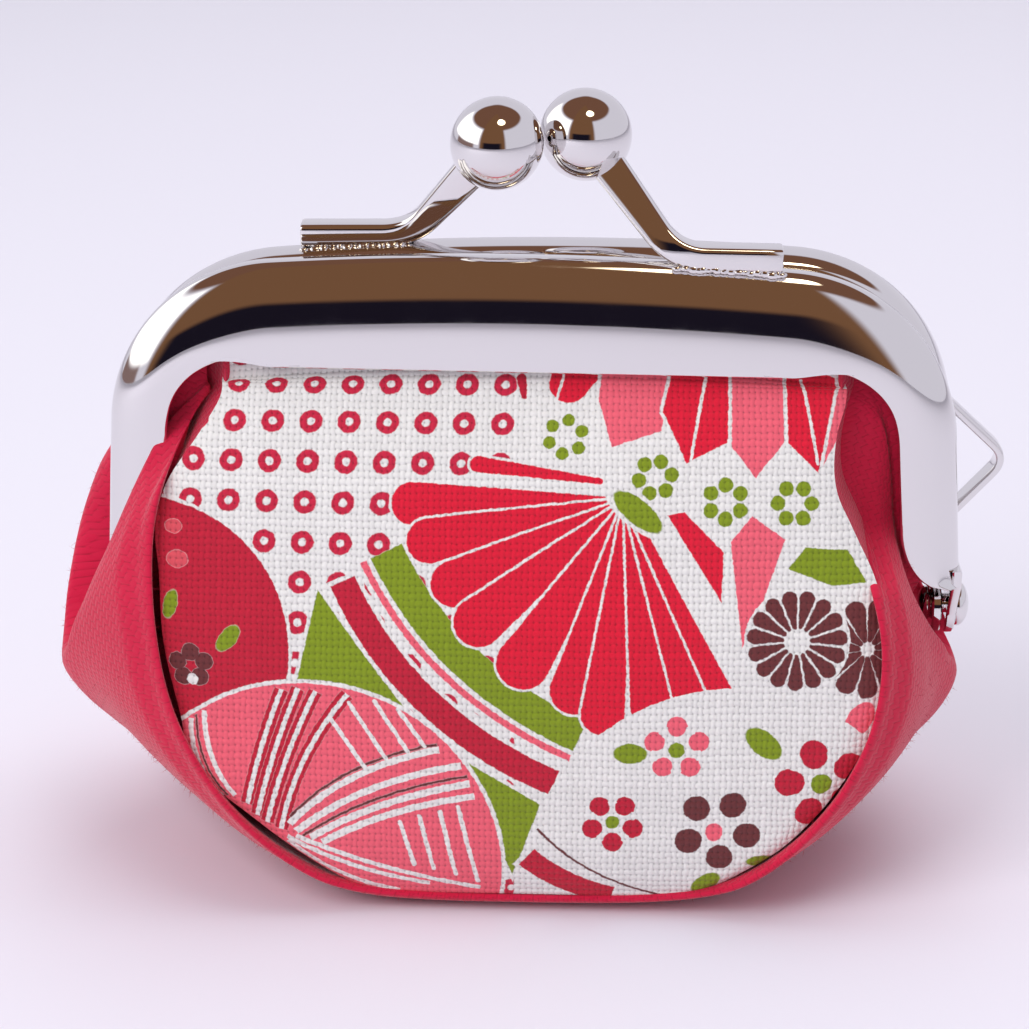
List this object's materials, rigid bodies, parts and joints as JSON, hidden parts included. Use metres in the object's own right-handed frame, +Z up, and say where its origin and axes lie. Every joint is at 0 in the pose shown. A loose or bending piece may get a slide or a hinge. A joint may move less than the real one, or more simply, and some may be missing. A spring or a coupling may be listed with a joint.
{
  "type": "clasp coin purse",
  "caption": "Small soft coin purse with a rounded metal frame, kissing ball clasp, side loop, printed panels and a gusset that opens into a flat base.",
  "frame": {"origin": "centre of the flat cloth base, on the surface that the purse stands on", "axes": "+X along the wide way, to the side with the loop; -Y to the front; +Z up to the clasp"},
  "size_m": [0.0718, 0.031, 0.0575],
  "materials": {
    "frame_metal": "bright nickel plate, mirror polished",
    "printed_cotton": "plain weave cotton, screen printed with balls, chrysanthemums and plum blossom",
    "crimson_cotton": "coarse dyed cotton, matte"
  },
  "bodies": {
    "root": {"front_frame": "frame_metal", "back_frame": "frame_metal", "hinge_rivet_left": "frame_metal", "hinge_rivet_right": "frame_metal", "front_panel": "printed_cotton", "back_panel": "printed_cotton", "gusset": "crimson_cotton"}
  },
  "joints": []
}
